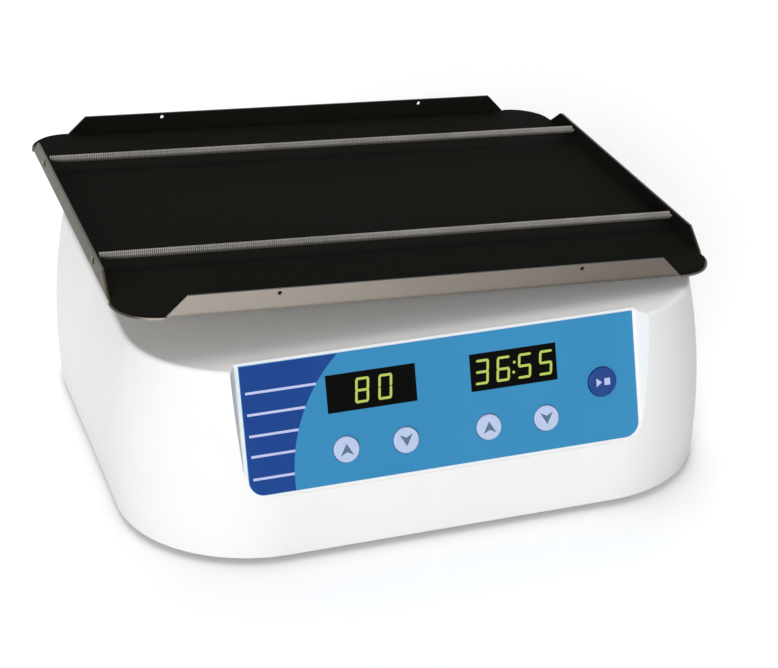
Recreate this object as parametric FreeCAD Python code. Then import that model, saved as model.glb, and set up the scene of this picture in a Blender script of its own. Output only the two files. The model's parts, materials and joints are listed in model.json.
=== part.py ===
# Rocking platform shaker: a vessel tray that see-saws about a shaft inside a moulded housing.
# Millimetres. +Z up, +X to the right, -Y to the front with the control panel.
# The origin lies on the bench, under the middle of the housing.
import FreeCAD, Part
import math
import os
from FreeCAD import Vector

# Housing shell: rounded box whose walls bow out a little and lean in towards the top
housing_width = 327.0
housing_depth = 303.0
housing_top = 106.0
rim_height = 3.3
corner_radius = 74.0
wall = 3.0
top_inset = 7.1
wall_bow = 3.9
top_edge_radius = 2.6

# Control fascia: a recess that leans back into the front wall
fascia_offset = -3.0
fascia_foot_height = 40.9
fascia_foot_depth = 0.9
fascia_lean = 15.6
fascia_flare = 0.62
fascia_margin = 2.0
lip_height = 1.3
lip_thickness = 1.8
lip_overlap = 3.0

# Control label, windows and keys, laid out on the fascia
label_width = 213.0
label_thickness = 0.8
label_corner = 8.0
window_width = 47.5
window_height = 19.5
window_pitch = 77.2
window_level = 46.7
window_ledge = 1.5
key_diameter = 13.6
key_pitch = 32.0
key_level = 17.3
key_proud = 1.2
key_travel = 0.7
key_clearance = 0.35
key_flange = 1.6
start_key_diameter = 15.6
start_key_place = 87.2
start_key_level = 32.0
label_gap = 0.15

# Display modules and control board behind the fascia
display_depth = 8.0
display_height = 21.0
display_overlap = 1.6
board_thickness = 1.6
control_board_width = 208.0
board_post_radius = 3.5
board_post_inset = 5.0
switch_side = 6.2
switch_height = 3.6
plunger_radius = 1.6

# Base plate, posts and feet
plate_gap = 0.6
plate_height = 5.0
plate_thickness = 2.0
post_radius = 4.5
post_top = 30.0
post_inset = 15.0
post_spread = 84.0
rib_thickness = 3.0
foot_inset = 45.5
foot_radius = 11.0
foot_recess = 2.2
vent_count = 7
vent_pitch = 9.0
vent_length = 42.0
vent_width = 4.0

# Tray: folded sheet with four upturned flanges and open rounded corners
tray_length = 330.0
tray_width = 267.0
tray_place = (-1.9, 3.3)
tray_sheet = 1.2
tray_corner = 23.0
flange_height = 12.0
flange_bend = 2.6
front_flange_length = 283.0
front_flange_slant = 12.0
side_flange_length = 221.0
side_flange_slant = 17.5
liner_thickness = 0.8

# Retaining springs and the holes that hold them
spring_spread = 71.1
spring_hole_height = 9.6
spring_hole_radius = 1.2
front_hole_spread = 82.5
coil_radius = 2.2
coil_bore = 1.3
spring_wire = 0.5
spring_end_gap = 1.0

# Rocking motion
full_tilt = 4.5
stop_share = 0.733
edge_clearance = 1.4
shaft_drop = 18.0
crank_drop = 50.0

# Rocker frame, shaft and stands
shaft_radius = 5.0
bush_running_gap = 0.03
bush_wall = 3.0
bush_flange = 2.0
frame_middle = 15.3
frame_length = 150.0
frame_web_width = 110.0
frame_sheet = 3.0
frame_slot_width = 22.0
frame_slot_margin = 32.0
ear_width = 26.0
ear_below_shaft = 27.0
arm_thickness = 6.0
arm_screw_spread = 7.5
arm_screw_drop = 19.5
stand_gap = 1.0
stand_thickness = 12.0
stand_hub_radius = 12.0
stand_foot_width = 60.0
stand_foot_height = 12.0
cover_slot_gap = 2.0

# Crank drive
roller_radius = 9.0
roller_slot_gap = 0.8
tine_width = 7.0
journal_radius = 4.0
roller_running_gap = 0.04
hub_radius = 11.0
hub_length = 9.0
drive_gap = 1.0
output_radius = 4.0
gearbox_radius = 21.0
gearbox_length = 38.0
motor_radius = 19.5
motor_length = 54.0
bracket_sheet = 3.0
bracket_width = 62.0
bracket_foot = 34.0
bracket_screw_reach = 11.0
bracket_screw_edge = 7.0
gearbox_screw_circle = 16.5

# Power entry on the rear wall and the power board
entry_centre_x = 62.0
entry_centre_z = 53.0
entry_width = 104.0
entry_height = 38.0
entry_depth = 3.6
inlet_width = 27.6
inlet_height = 20.4
inlet_depth = 21.0
inlet_flange_width = 50.0
inlet_flange = 2.4
inlet_screw_pitch = 40.0
inlet_place = -20.0
socket_width = 24.2
socket_height = 16.6
socket_depth = 16.0
blade_pitch = 14.0
rocker_switch_place = 34.0
rocker_switch_width = 15.0
rocker_switch_height = 21.0
rocker_switch_rim = 1.8
rocker_tilt = 11.0
power_board_length = 120.0
power_board_width = 72.0
power_board_side_gap = 23.5
power_board_y = 10.0
standoff_height = 8.0
standoff_inset = 5.0
core_length = 40.0
core_width = 18.0
core_height = 34.0
core_limb = 5.0
bobbin_width = 30.0
core_place = 24.0
capacitor_radius = 9.0
capacitor_height = 26.0
capacitor_place = (-16.0, -12.0)
sink_length = 48.0
sink_height = 28.0
sink_place = -40.0
fin_depth = 12.0
fin_pitch = 7.6
fin_thickness = 2.0

# Screws: shank radius, head radius, head height
m3 = (1.5, 2.8, 1.9)
m4 = (2.0, 3.7, 2.4)
m5 = (2.5, 4.6, 2.8)
screw_gap = 0.05
base_screw_grip = 12.0
board_screw_grip = 3.0
face_screw_grip = 5.0

# Places worked out from the sizes above
half_width = housing_width / 2
half_depth = housing_depth / 2
tray_gap = (half_width - top_inset) * math.tan(math.radians(full_tilt)) + edge_clearance
shaft_height = housing_top - shaft_drop
platform_rise = shaft_drop + tray_gap
rest_tilt = full_tilt * stop_share
motor_height = shaft_height - crank_drop
crank_throw = crank_drop * math.sin(math.radians(full_tilt))
rest_turn = rest_tilt + math.degrees(math.asin(crank_drop * math.sin(math.radians(rest_tilt)) / crank_throw))
plate_top = plate_height + plate_thickness
foot_spread_x = half_width - foot_inset
foot_spread_y = half_depth - foot_inset
power_board_x = half_width - power_board_side_gap - power_board_width / 2
frame_front = frame_middle - frame_length / 2
frame_back = frame_middle + frame_length / 2
arm_front = frame_front + frame_sheet
arm_back = arm_front + arm_thickness
bracket_face = arm_back + drive_gap + hub_length + drive_gap
bush_radius = shaft_radius + bush_wall


def box(low, high):
    size = Vector(*high) - Vector(*low)
    return Part.makeBox(size.x, size.y, size.z, Vector(*low))


def rod(radius, start, end):
    line = Vector(*end) - Vector(*start)
    return Part.makeCylinder(radius, line.Length, Vector(*start), line)


def prism(points, sweep):
    corners = [Vector(*point) for point in points]
    return Part.Face(Part.makePolygon(corners + corners[:1])).extrude(Vector(*sweep))


def joined(solids):
    return solids[0].fuse(solids[1:]).removeSplitter()


def rounded_plate(length, width, radius, low, high, centre=(0, 0)):
    x, y = centre
    hx, hy = length / 2, width / 2
    plate = box((x - hx, y - hy, low), (x + hx, y + hy, high))
    upright = [e for e in plate.Edges if abs(e.Vertexes[0].Z - e.Vertexes[1].Z) > (high - low) / 2]
    return plate.makeFillet(radius, upright)


def mirror_places(x, y):
    return [(-x, -y), (x, -y), (-x, y), (x, y)]


def screw(size, head_place, direction, length):
    """Pan-head screw: head_place is under the head, direction points along the shank."""
    shank, head, height = size
    place, way = Vector(*head_place), Vector(*direction)
    cap = Part.makeCylinder(head, height, place, way * -1)
    cap = cap.makeChamfer(height * 0.35, [cap.Edges[0]])
    recess = Part.makeBox(head, shank * 0.5, height, Vector(-head / 2, -shank * 0.25, height * 0.55))
    cross = recess.fuse(recess.copy().rotated(Vector(0, 0, 0), Vector(0, 0, 1), 90))
    turn = FreeCAD.Rotation(Vector(0, 0, 1), way * -1)
    cross.Placement = FreeCAD.Placement(place, turn)
    body = Part.makeCylinder(shank, length, place, way)
    return cap.fuse(body).cut(cross)


def screw_hole(size, head_place, direction, length):
    return Part.makeCylinder(size[0] + screw_gap, length, Vector(*head_place), Vector(*direction))


# ---- Housing wall profile: one arc through the rim, the bow and the top edge
def bow_circle():
    rise = housing_top - rim_height
    chord = math.hypot(rise, top_inset)
    radius = (chord * chord / 4 + wall_bow * wall_bow) / (2 * wall_bow)
    lean = math.atan2(top_inset, rise)
    back = radius - wall_bow
    centre_x = -top_inset / 2 - back * math.cos(lean)
    centre_z = (rim_height + housing_top) / 2 - back * math.sin(lean)
    return radius, centre_x, centre_z


def bow(height):
    """How far the outer wall stands outside its rim at a height."""
    radius, centre_x, centre_z = bow_circle()
    return centre_x + math.sqrt(radius * radius - (height - centre_z) ** 2)


def wall_profile(reach, low, high, edge, inner=False):
    """Closed half profile in XZ from the axis out to a bowed wall, with a rounded top edge."""
    radius, centre_x, centre_z = bow_circle()
    shift = reach + centre_x
    crown_z = high - edge
    crown_x = shift + math.sqrt((radius - edge) ** 2 - (crown_z - centre_z) ** 2)
    out = Vector(crown_x - shift, 0, crown_z - centre_z).normalize()
    crown = Vector(crown_x, 0, crown_z)
    start = Vector(reach + bow(low), 0, low)
    middle_z = (low + crown_z) / 2
    middle = Vector(reach + bow(middle_z), 0, middle_z)
    tangent = crown + out * edge
    knee = crown + (out + Vector(0, 0, 1)).normalize() * edge
    top = Vector(crown_x, 0, high)
    edges = [Part.makeLine(Vector(0, 0, low), start), Part.Arc(start, middle, tangent).toShape(),
             Part.Arc(tangent, knee, top).toShape(), Part.makeLine(top, Vector(0, 0, high)),
             Part.makeLine(Vector(0, 0, high), Vector(0, 0, low))]
    return Part.Face(Part.Wire(edges))


def bowed_body(inward, low, high, edge):
    """Rounded box with bowed walls, set in from the outer surface by a wall thickness."""
    radius = corner_radius - inward
    core_x, core_y = half_width - corner_radius, half_depth - corner_radius
    origin, up = Vector(0, 0, 0), Vector(0, 0, 1)
    corner = wall_profile(radius, low, high, edge)
    side = wall_profile(core_x + radius, low, high, edge)
    end = wall_profile(core_y + radius, low, high, edge).rotated(origin, up, 90)
    pieces = []
    for quarter, (x, y) in enumerate([(core_x, core_y), (-core_x, core_y), (-core_x, -core_y),
                                      (core_x, -core_y)]):
        sector = corner.rotated(origin, up, 90 * quarter).revolve(origin, up, 90)
        pieces.append(sector.translated(Vector(x, y, 0)))
    for turn in (0, 180):
        half = side.rotated(origin, up, turn)
        pieces.append(half.translated(Vector(0, -core_y, 0)).extrude(Vector(0, 2 * core_y, 0)))
        half = end.rotated(origin, up, turn)
        strip = half.translated(Vector(-core_x, 0, 0)).extrude(Vector(2 * core_x, 0, 0))
        far = (half_depth + 50) * (1 if turn == 0 else -1)
        near = core_y * (1 if turn == 0 else -1)
        zone = box((-core_x, min(near, far), low - 1), (core_x, max(near, far), high + 1))
        pieces.append(strip.common(zone))
    return joined(pieces)


# ---- Fascia frame: local X to the right, Y up the slope, Z out of the panel
fascia_foot = Vector(fascia_offset, -(half_depth + bow(fascia_foot_height)) + fascia_foot_depth,
                     fascia_foot_height)
fascia_frame = FreeCAD.Placement(fascia_foot, FreeCAD.Rotation(Vector(1, 0, 0), 90 - fascia_lean))
fascia_reach = (housing_top - fascia_foot_height) / math.cos(math.radians(fascia_lean))
label_height = fascia_reach - label_gap
board_level = -wall - display_depth


def on_fascia(shape):
    shape = shape.copy()
    shape.Placement = fascia_frame.multiply(shape.Placement)
    return shape


def fascia_pocket(margin, floor, corner):
    """Flared trench from its floor outwards, open at the top of the housing."""
    half = label_width / 2 + fascia_margin + margin
    depth = 40.0
    foot = -fascia_margin - margin
    wide = half + fascia_flare * depth
    trench = prism([(-half, foot, floor), (half, foot, floor), (wide, foot, floor + depth),
                    (-wide, foot, floor + depth)], (0, fascia_reach + 60, 0))
    corners = [e for e in trench.Edges if abs(e.Vertexes[0].Y - foot) < 1e-6 and abs(e.Vertexes[1].Y - foot) < 1e-6
               and abs(e.Vertexes[0].Z - e.Vertexes[1].Z) > 1]
    return on_fascia(trench.makeFillet(corner, corners))


def key_places():
    """Name, middle and radius of each key on the fascia."""
    places = []
    for side, label in ((-1, "speed"), (1, "time")):
        for step, way in ((-1, "up"), (1, "down")):
            middle = side * window_pitch / 2 + step * key_pitch / 2
            places.append((label + "_" + way + "_key", middle, key_level, key_diameter / 2))
    places.append(("start_key", start_key_place, start_key_level, start_key_diameter / 2))
    return places


def window_places():
    return [("speed", -window_pitch / 2), ("time", window_pitch / 2)]


def fascia_openings(window_margin, low, high):
    """Cutters for the windows and key holes, through a layer of the fascia."""
    cutters = []
    for _, x in window_places():
        hx, hy = window_width / 2 + window_margin, window_height / 2 + window_margin
        cutters.append(box((x - hx, window_level - hy, low), (x + hx, window_level + hy, high)))
    for _, x, y, radius in key_places():
        cutters.append(rod(radius + key_clearance, (x, y, low), (x, y, high)))
    return cutters


def board_post_places():
    x = control_board_width / 2 - board_post_inset
    return [(sx * x, y) for sx in (-1, 1) for y in (board_post_inset, label_height - board_post_inset - 2)]


def post_places():
    """Screw posts round the rim: two on each long wall and one on each end wall."""
    x, y = half_width - wall - post_inset + post_radius, half_depth - wall - post_inset + post_radius
    ends = [(-x, 0, -1, 0), (x, 0, 1, 0)]
    return ends + [(sx * post_spread, sy * y, 0, sy) for sx in (-1, 1) for sy in (-1, 1)]


def cover_slot(y):
    """Slot in the top for one ear of the rocker frame."""
    swing = shaft_drop * math.tan(math.radians(full_tilt))
    half = ear_width / 2 + swing + cover_slot_gap
    inner, outer = min(y), max(y)
    return rounded_plate(2 * half, outer - inner + 2 * cover_slot_gap, cover_slot_gap,
                         housing_top - 2 * wall, housing_top + 1, (0, (inner + outer) / 2))


def housing_shell():
    outer = bowed_body(0, rim_height, housing_top, top_edge_radius)
    inner = bowed_body(wall, rim_height - 1, housing_top - wall, 1.0)
    backing = fascia_pocket(wall * 1.3, -wall, label_corner + fascia_margin + wall).common(outer)
    half = (entry_width / 2 + wall, entry_height / 2 + wall)
    pad = box((entry_centre_x - half[0], entry_face() - wall, entry_centre_z - half[1]),
              (entry_centre_x + half[0], half_depth + 20, entry_centre_z + half[1])).common(outer)
    shell = joined([outer.cut(inner), backing, pad])
    shell = shell.cut(fascia_pocket(0, 0, label_corner + fascia_margin))
    entry = box((entry_centre_x - half[0] + wall, entry_face(), entry_centre_z - half[1] + wall),
                (entry_centre_x + half[0] - wall, half_depth + 20, entry_centre_z + half[1] - wall))
    shell = shell.cut(entry.makeFillet(4.0, [e for e in entry.Edges
                                             if abs(e.Vertexes[0].Y - e.Vertexes[1].Y) > 1]))
    shell = shell.cut([on_fascia(c) for c in fascia_openings(-window_ledge, -2 * wall, wall)])
    shell = shell.cut([cover_slot((frame_front, frame_front + frame_sheet)),
                       cover_slot((frame_back - frame_sheet, frame_back))])
    additions = []
    for x, y, way_x, way_y in post_places():
        post = rod(post_radius, (x, y, plate_top), (x, y, post_top))
        reach = wall * 0.5
        end_x = x + way_x * (half_width - abs(x) - reach) if way_x else x
        end_y = y + way_y * (half_depth - abs(y) - reach) if way_y else y
        spread_x = rib_thickness / 2 * (1 - abs(way_x))
        spread_y = rib_thickness / 2 * (1 - abs(way_y))
        rib = box((min(x, end_x) - spread_x, min(y, end_y) - spread_y, plate_top),
                  (max(x, end_x) + spread_x, max(y, end_y) + spread_y, post_top))
        additions.append(post.fuse(rib))
    for x, y in board_post_places():
        additions.append(on_fascia(rod(board_post_radius, (x, y, -wall * 0.6), (x, y, board_level))))
    half = label_width / 2 + fascia_margin
    lip = box((-half, fascia_reach - lip_overlap, -lip_thickness), (half, fascia_reach + lip_height, 0))
    additions.append(on_fascia(lip.makeChamfer(lip_height * 0.5, [e for e in lip.Edges
                                                                  if abs(e.Vertexes[0].Z - e.Vertexes[1].Z) > 1
                                                                  and e.Vertexes[0].Y > fascia_reach])))
    shell = joined([shell] + additions)
    pilots = [screw_hole(m3, (x, y, plate_top - 1), (0, 0, 1), base_screw_grip + 4)
              for x, y, _, _ in post_places()]
    pilots += [on_fascia(screw_hole(m3, (x, y, board_level - 1), (0, 0, 1), face_screw_grip + 2))
               for x, y in board_post_places()]
    inlet_x = entry_centre_x + inlet_place
    switch_x = entry_centre_x + rocker_switch_place
    pilots.append(entry_window(inlet_x, inlet_width, inlet_height))
    pilots.append(entry_window(switch_x, rocker_switch_width, rocker_switch_height))
    for side in (-1, 1):
        x = inlet_x + side * inlet_screw_pitch / 2
        pilots.append(screw_hole(m3, (x, entry_face() + 1, entry_centre_z), (0, -1, 0), 2 * wall))
    return shell.cut(pilots)


def entry_face():
    return half_depth - entry_depth


def entry_window(x, width, height):
    gap = 0.25
    return box((x - width / 2 - gap, entry_face() - 2 * wall, entry_centre_z - height / 2 - gap),
               (x + width / 2 + gap, entry_face() + 1, entry_centre_z + height / 2 + gap))


# ---- Base plate and feet
def base_plate():
    trim = 2 * (wall + plate_gap)
    plate = rounded_plate(housing_width - trim, housing_depth - trim, corner_radius - wall - plate_gap,
                          plate_height, plate_top)
    holes = [screw_hole(m3, (x, y, 0), (0, 0, 1), plate_top + 1) for x, y, _, _ in post_places()]
    holes += [screw_hole(m4, (x, y, 0), (0, 0, 1), plate_top + 1)
              for x, y in mirror_places(foot_spread_x, foot_spread_y) + bracket_screw_places()]
    holes += [screw_hole(m5, (x, y, 0), (0, 0, 1), plate_top + 1) for x, y in stand_screw_places()]
    holes += [screw_hole(m3, (x, y, 0), (0, 0, 1), plate_top + 1) for x, y in standoff_places()]
    for side in (-1, 1):
        for step in range(vent_count):
            y = power_board_y + (step - (vent_count - 1) / 2) * vent_pitch
            x = side * power_board_x
            slot = rounded_plate(vent_length, vent_width, vent_width / 2 - 0.05, plate_height - 1,
                                 plate_top + 1, (x, y))
            holes.append(slot)
    return plate.cut(holes)


def base_screws():
    length = plate_thickness + base_screw_grip
    return [screw(m3, (x, y, plate_height), (0, 0, 1), length) for x, y, _, _ in post_places()]


def rubber_feet():
    feet = []
    for x, y in mirror_places(foot_spread_x, foot_spread_y):
        foot = Part.makeCone(foot_radius - 1.5, foot_radius, plate_height, Vector(x, y, 0))
        recess = rod(m4[1] + 1, (x, y, -1), (x, y, foot_recess))
        feet.append(foot.cut([recess, screw_hole(m4, (x, y, 0), (0, 0, 1), plate_height + 1)]))
    return feet


def foot_screws():
    size = (m4[0], m4[1], foot_recess - 0.5)
    return [screw(size, (x, y, foot_recess), (0, 0, 1), plate_top - foot_recess + 4.5)
            for x, y in mirror_places(foot_spread_x, foot_spread_y)]


def hex_nut(size, place, direction):
    """Nut standing on a face: place is on the face, direction points away from it."""
    across, height = size[0] * 2 * 0.98, size[0] * 1.6
    points = [(across * math.cos(math.radians(60 * k)), across * math.sin(math.radians(60 * k)), 0)
              for k in range(6)]
    nut = prism(points, (0, 0, height)).cut(rod(size[0] + screw_gap, (0, 0, -1), (0, 0, height + 1)))
    nut.Placement = FreeCAD.Placement(Vector(*place), FreeCAD.Rotation(Vector(0, 0, 1), Vector(*direction)))
    return nut


def foot_nuts():
    return [hex_nut(m4, (x, y, plate_top), (0, 0, 1))
            for x, y in mirror_places(foot_spread_x, foot_spread_y)]


# ---- Fascia pieces
def control_label():
    half = label_width / 2
    plate = box((-half, 0, 0), (half, label_height, label_thickness))
    lower = [e for e in plate.Edges if abs(e.Vertexes[0].Z - e.Vertexes[1].Z) > label_thickness / 2
             and e.Vertexes[0].Y < 1]
    plate = plate.makeFillet(label_corner, lower)
    return on_fascia(plate.cut(fascia_openings(label_gap, -1, label_thickness + 1)))


def display_window(x):
    hx, hy = window_width / 2, window_height / 2
    return on_fascia(box((x - hx, window_level - hy, 0), (x + hx, window_level + hy, label_thickness)))


def display_module(x):
    hx, hy = window_width / 2 + display_overlap, display_height / 2
    body = box((x - hx, window_level - hy, board_level), (x + hx, window_level + hy, -wall - screw_gap))
    return on_fascia(body)


def control_board():
    half = control_board_width / 2
    low, high = board_level - board_thickness, board_level
    board = box((-half, 0, low), (half, label_height - 2, high))
    holes = [screw_hole(m3, (x, y, low - 1), (0, 0, 1), board_thickness + 2)
             for x, y in board_post_places()]
    return on_fascia(board.cut(holes))


def board_screws():
    low = board_level - board_thickness
    return [on_fascia(screw(m3, (x, y, low), (0, 0, 1), board_thickness + face_screw_grip))
            for x, y in board_post_places()]


def key_switches():
    switches = []
    for _, x, y, _ in key_places():
        half = switch_side / 2
        top = board_level + switch_height
        body = box((x - half, y - half, board_level), (x + half, y + half, top))
        well = rod(plunger_radius + key_clearance, (x, y, board_level + 0.8), (x, y, top + 1))
        switches.append(on_fascia(body.cut(well)))
    return switches


def key(x, y, radius):
    """Domed cap through the label, a flange behind the fascia and a plunger into its switch."""
    top = label_thickness + key_proud
    cap = rod(radius, (x, y, -wall - 0.5), (x, y, top))
    cap = cap.makeFillet(key_proud * 0.5, [e for e in cap.Edges if abs(e.BoundBox.ZMax - top) < 1e-6
                                           and abs(e.BoundBox.ZMin - top) < 1e-6])
    flange_top = -wall - screw_gap
    flange = rod(radius + key_flange, (x, y, flange_top - 1.1), (x, y, flange_top))
    plunger_end = board_level + 0.8 + key_travel + key_clearance
    plunger = rod(plunger_radius, (x, y, plunger_end), (x, y, -wall - 1))
    return on_fascia(joined([cap, flange, plunger]))


# ---- Tray and its liner
def tilted(shape):
    """From the level pose to the tilt at which the drive stopped."""
    return shape.rotated(Vector(0, 0, shaft_height), Vector(0, 1, 0), rest_tilt)


def tray_floor():
    return shaft_height + platform_rise


def flange_side(length, slant, reach, inward, low, high, bend, sheet):
    """Bent flange along local X at the front edge: its bend, its leg and its slanted ends."""
    front = -reach + inward
    inner_bend = max(bend - sheet, 0.2)
    bend_z = low + bend
    centre = Vector(0, front + bend, bend_z)
    across = math.sqrt(0.5)
    outer = Part.Arc(Vector(0, front + bend, low), centre + Vector(0, -across, -across) * bend,
                     Vector(0, front, bend_z)).toShape()
    inner = Part.Arc(Vector(0, front + sheet, bend_z), centre + Vector(0, -across, -across) * inner_bend,
                     Vector(0, front + bend, low + sheet)).toShape()
    lines = [outer, Part.makeLine(Vector(0, front, bend_z), Vector(0, front, high)),
             Part.makeLine(Vector(0, front, high), Vector(0, front + sheet, high)),
             Part.makeLine(Vector(0, front + sheet, high), Vector(0, front + sheet, bend_z)), inner,
             Part.makeLine(Vector(0, front + bend, low + sheet), Vector(0, front + bend, low))]
    strip = Part.Face(Part.Wire(lines)).extrude(Vector(length, 0, 0)).translated(Vector(-length / 2, 0, 0))
    half = length / 2
    slope = slant * (high - low) / flange_height
    trapezoid = prism([(-half, front - 1, low), (half, front - 1, low), (half - slope, front - 1, high),
                       (-half + slope, front - 1, high)], (0, bend + 2, 0))
    return strip.common(trapezoid)


def folded_sheet(inward, low, sheet, bend, high):
    """Sheet floor with open rounded corners and four flanges, in the level pose about the origin."""
    half_x, half_y = tray_length / 2, tray_width / 2
    floor = rounded_plate(tray_length - 2 * inward, tray_width - 2 * inward, tray_corner - inward, low,
                          low + sheet)
    edge = bend + inward
    strips = []
    for sign in (-1, 1):
        span = front_flange_length / 2 - inward
        ys = sorted((sign * (half_y - edge), sign * (half_y + 1)))
        strips.append(box((-span, ys[0], low - 1), (span, ys[1], low + sheet + 1)))
        span = side_flange_length / 2 - inward
        xs = sorted((sign * (half_x - edge), sign * (half_x + 1)))
        strips.append(box((xs[0], -span, low - 1), (xs[1], span, low + sheet + 1)))
    floor = floor.cut(strips)
    front = flange_side(front_flange_length - 2 * inward, front_flange_slant, half_y, inward, low, high,
                        bend, sheet)
    side = flange_side(side_flange_length - 2 * inward, side_flange_slant, half_x, inward, low, high,
                       bend, sheet)
    origin, up = Vector(0, 0, 0), Vector(0, 0, 1)
    flanges = [front, front.rotated(origin, up, 180), side.rotated(origin, up, 90),
               side.rotated(origin, up, -90)]
    return joined([floor] + flanges)


def spring_holes(low, high):
    """Holes through the side flanges for the springs and spare holes through the front and rear ones."""
    level = spring_hole_height
    holes = []
    for x, y in mirror_places(tray_length / 2, spring_spread):
        way = 1 if x > 0 else -1
        holes.append(rod(spring_hole_radius, (x - way * 8, y, level), (x + way * 2, y, level)))
    for x, y in mirror_places(front_hole_spread, tray_width / 2):
        way = 1 if y > 0 else -1
        holes.append(rod(spring_hole_radius, (x, y - way * 8, level), (x, y + way * 2, level)))
    return holes


def on_platform(shape):
    """Move a piece from the rocker frame's own middle, top of its web at zero, to its tilted place."""
    return tilted(shape.translated(Vector(0, frame_middle, tray_floor())))


def on_tray(shape):
    """Move a piece from the tray's own middle, floor underside at zero, to its tilted place."""
    return on_platform(shape.translated(Vector(*tray_place, 0)))


def platform_tray():
    sheet = folded_sheet(0, 0, tray_sheet, flange_bend, flange_height)
    return on_tray(sheet.cut(spring_holes(0, flange_height)))


def tray_liner():
    bend = max(flange_bend - tray_sheet, liner_thickness + 0.2)
    sheet = folded_sheet(tray_sheet, tray_sheet, liner_thickness, bend, flange_height)
    return on_tray(sheet.cut(spring_holes(0, flange_height)))


def retaining_spring(y):
    """Close-wound extension spring across the tray, hooked through both side flanges."""
    level = spring_hole_height
    half = tray_length / 2 - tray_sheet - liner_thickness - spring_end_gap
    coil = rod(coil_radius, (-half, y, level), (half, y, level))
    bore = rod(coil_bore, (-half + 1, y, level), (half - 1, y, level))
    pieces = [coil.cut(bore)]
    for way in (-1, 1):
        out = tray_length / 2 + spring_wire + screw_gap
        bend = spring_wire * 2
        start = way * (half - 0.5)
        pieces.append(rod(spring_wire, (start, y, level), (way * (out - bend), y, level)))
        turn = Vector(way * (out - bend), y, level)
        section = Part.Face(Part.Wire(Part.makeCircle(spring_wire, turn, Vector(1, 0, 0))))
        pieces.append(section.revolve(turn - Vector(0, 0, bend), Vector(0, way, 0), 90))
        pieces.append(rod(spring_wire, (way * out, y, level - bend), (way * out, y, level - bend - 3.5)))
    return on_tray(joined(pieces))


# ---- Rocker frame under the tray
def tray_stud_places():
    return mirror_places(frame_web_width / 2 - 12.0, frame_length / 2 - 22.0)


def tray_studs():
    length = frame_sheet + m4[0] * 1.6 + 1.5
    return [on_platform(rod(m4[0], (x, y, -length), (x, y, 0))) for x, y in tray_stud_places()]


def tray_nuts():
    return [on_platform(hex_nut(m4, (x, y, -frame_sheet), (0, 0, -1))) for x, y in tray_stud_places()]


def rocker_frame():
    """U-shaped sheet frame: a web under the tray and two ears down to the shaft."""
    top = tray_floor()
    low = top - frame_sheet
    web = rounded_plate(frame_web_width, frame_length, 8.0, low, top, (0, frame_middle))
    web = web.cut([rounded_plate(frame_slot_width, frame_length - 2 * frame_slot_margin, 8.0, low - 1, top + 1,
                                 (x, frame_middle))
                   for x in (-frame_slot_width, frame_slot_width)])
    half = ear_width / 2
    pieces = [web]
    for face in (frame_front, frame_back - frame_sheet):
        ear = box((-half, face, shaft_height - ear_below_shaft), (half, face + frame_sheet, top))
        lower = [e for e in ear.Edges if abs(e.Vertexes[0].Y - e.Vertexes[1].Y) > 1
                 and e.Vertexes[0].Z < shaft_height]
        pieces.append(ear.makeFillet(6.0, lower))
    frame = joined(pieces)
    holes = [screw_hole(m4, (x, frame_middle + y, top + 1), (0, 0, -1), frame_sheet + 2)
             for x, y in tray_stud_places()]
    holes.append(rod(bush_radius, (0, frame_front - 1, shaft_height), (0, frame_back + 1, shaft_height)))
    holes += arm_screw_holes(frame_front - 1, frame_front + frame_sheet + 1)
    holes += arm_screw_holes(frame_back - frame_sheet - 1, frame_back + 1)
    return tilted(frame.cut(holes))


def arm_screw_holes(start, end):
    level = shaft_height - arm_screw_drop
    return [rod(m4[0] + screw_gap, (sx * arm_screw_spread, start, level),
                (sx * arm_screw_spread, end, level))
            for sx in (-1, 1)]


def hub_outline(low):
    """Upright plate outline in XZ: round over the shaft, square-cut at the bottom."""
    half = ear_width / 2
    left, right = Vector(-half, 0, shaft_height), Vector(half, 0, shaft_height)
    crown = Part.Arc(left, Vector(0, 0, shaft_height + half), right).toShape()
    foot_left, foot_right = Vector(-half, 0, low), Vector(half, 0, low)
    return Part.Face(Part.Wire([crown, Part.makeLine(right, foot_right),
                                Part.makeLine(foot_right, foot_left),
                                Part.makeLine(foot_left, left)]))


def drive_lever():
    """Arm bolted to the front ear, with a fork at its lower end for the crank roller."""
    slot = roller_radius + roller_slot_gap
    fork_half = slot + tine_width
    fork_top = shaft_height - crank_drop + crank_throw + roller_radius + 12.0
    fork_low = shaft_height - crank_drop - crank_throw - roller_radius + 1.0
    arm = hub_outline(fork_top - 6).translated(Vector(0, arm_front, 0)).extrude(Vector(0, arm_thickness, 0))
    shoulder = 8.0
    fork = prism([(-fork_half, arm_front, fork_low), (fork_half, arm_front, fork_low),
                  (fork_half, arm_front, fork_top - shoulder), (ear_width / 2, arm_front, fork_top),
                  (-ear_width / 2, arm_front, fork_top), (-fork_half, arm_front, fork_top - shoulder)],
                 (0, arm_thickness, 0))
    lever = joined([arm, fork])
    slot_top = shaft_height - crank_drop + crank_throw + 1.5
    gap = rod(slot, (0, arm_front - 1, slot_top), (0, arm_back + 1, slot_top))
    gap = gap.fuse(box((-slot, arm_front - 1, fork_low - 1), (slot, arm_back + 1, slot_top)))
    bore = rod(bush_radius, (0, arm_front - 1, shaft_height), (0, arm_back + 1, shaft_height))
    return tilted(lever.cut([gap, bore] + arm_screw_holes(arm_front - 1, arm_back + 1)))


def rear_hub_plate():
    back = frame_back - frame_sheet
    plate = hub_outline(shaft_height - ear_below_shaft).translated(Vector(0, back - arm_thickness, 0))
    plate = plate.extrude(Vector(0, arm_thickness, 0))
    bore = rod(bush_radius, (0, back - arm_thickness - 1, shaft_height), (0, back + 1, shaft_height))
    return tilted(plate.cut([bore] + arm_screw_holes(back - arm_thickness - 1, back + 1)))


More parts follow.
